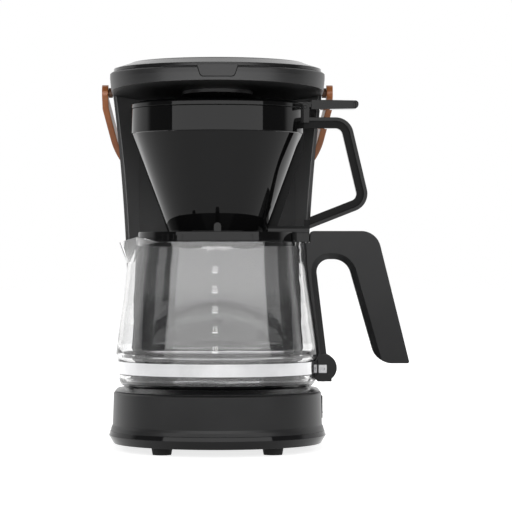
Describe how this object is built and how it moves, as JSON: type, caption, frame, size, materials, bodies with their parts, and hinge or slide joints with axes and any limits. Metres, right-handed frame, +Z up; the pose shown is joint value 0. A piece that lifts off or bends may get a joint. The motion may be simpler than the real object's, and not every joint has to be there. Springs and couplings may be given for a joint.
{
  "type": "drip coffee maker",
  "caption": "Drip coffee maker with a bucket-shaped tank tower, hinged top lid, tan carrying bail, lift-off dripper with its own lid and handle, and a banded glass carafe on a hot plate.",
  "frame": {"origin": "point of the worktop under the centre of the hot plate, where the carafe axis meets the plane of the feet", "axes": "+X to the right seen from the front, +Y to the back, +Z up"},
  "size_m": [0.2439, 0.2198, 0.3044],
  "materials": {
    "body_satin": "satin charcoal",
    "head_black": "dark underside",
    "foot_rubber": "matte",
    "screw_steel": "plated",
    "hot_plate_coat": "non-stick coating",
    "seal_silicone": "silicone",
    "heater_aluminium": "die cast",
    "clamp_steel": "spring steel",
    "control_parts": "metal can",
    "terminal_plastic": "nylon",
    "lead_sheath": "glass-fibre sleeved lead",
    "gland_rubber": "matte",
    "switch_frame": "fine grain",
    "switch_rocker": "gloss",
    "tank_plastic": "natural polypropylene",
    "bail_tan": "tan, grained",
    "bail_pivot": "brown, satin",
    "carafe_glass": "clear",
    "band_steel": "bright steel",
    "grip_black": "fine grain",
    "dripper_gloss": "gloss black",
    "filter_nylon": "fine mesh"
  },
  "bodies": {
    "machine": {"base_plate": "body_satin", "base_feet": "foot_rubber", "base_screws": "screw_steel", "base_housing": "body_satin", "hot_plate": "hot_plate_coat", "plate_seal": "seal_silicone", "heat_spreader": "heater_aluminium", "heater_tube": "heater_aluminium", "heater_clamp": "clamp_steel", "clamp_bolt": "screw_steel", "thermostat": "control_parts", "thermal_fuses": "control_parts", "terminal_block": "terminal_plastic", "lead_wires": "lead_sheath", "cord_gland": "gland_rubber", "switch_housing": "switch_frame", "tower_shell": "body_satin", "tower_front": "body_satin", "tank_floor": "tank_plastic", "tank_strainer": "tank_plastic", "check_valve": "seal_silicone", "cold_hose": "seal_silicone", "hot_hose": "seal_silicone", "hose_clips": "clamp_steel", "riser_tube": "tank_plastic", "tower_screws": "screw_steel", "rim_collar": "body_satin", "brew_deck": "head_black", "spray_head": "head_black", "hinge_cover": "body_satin", "lid_pin": "screw_steel", "bail_pivots": "bail_pivot"},
    "lid": {"lid": "body_satin"},
    "bail": {"bail_strap": "bail_tan"},
    "switch": {"power_rocker": "switch_rocker"},
    "carafe": {"carafe_glass": "carafe_glass", "carafe_band": "band_steel", "band_screw": "screw_steel", "band_nut": "screw_steel", "carafe_handle": "grip_black"},
    "dripper": {"dripper_cone": "dripper_gloss", "dripper_handle": "dripper_gloss", "dripper_pin": "dripper_gloss", "filter_insert": "filter_nylon"},
    "dripper_lid": {"dripper_lid": "dripper_gloss"}
  },
  "joints": [
    {"name": "lid_hinge", "type": "hinge", "parent": "machine", "child": "lid", "pos_m": [0, 0.113, 0.3006], "axis": [-1, 0, 0], "range_deg": [0, 95]},
    {"name": "bail_swing", "type": "hinge", "parent": "machine", "child": "bail", "pos_m": [0, 0.045, 0.2842], "axis": [1, 0, 0], "range_deg": [0, 135]},
    {"name": "power_switch", "type": "hinge", "parent": "machine", "child": "switch", "pos_m": [0.0775, 0.0225, 0.0325], "axis": [0, 1, 0], "range_deg": [0, 16]},
    {"name": "carafe_slide", "type": "slide", "parent": "machine", "child": "carafe", "axis": [0, -1, 0], "range_m": [0, 0.2]},
    {"name": "dripper_lift", "type": "slide", "parent": "carafe", "child": "dripper", "axis": [0, 0, 1], "range_m": [0, 0.0045]},
    {"name": "dripper_lid_hinge", "type": "hinge", "parent": "dripper", "child": "dripper_lid", "pos_m": [0.069, 0, 0.2698], "axis": [0, 1, 0], "range_deg": [0, 2.5]}
  ]
}
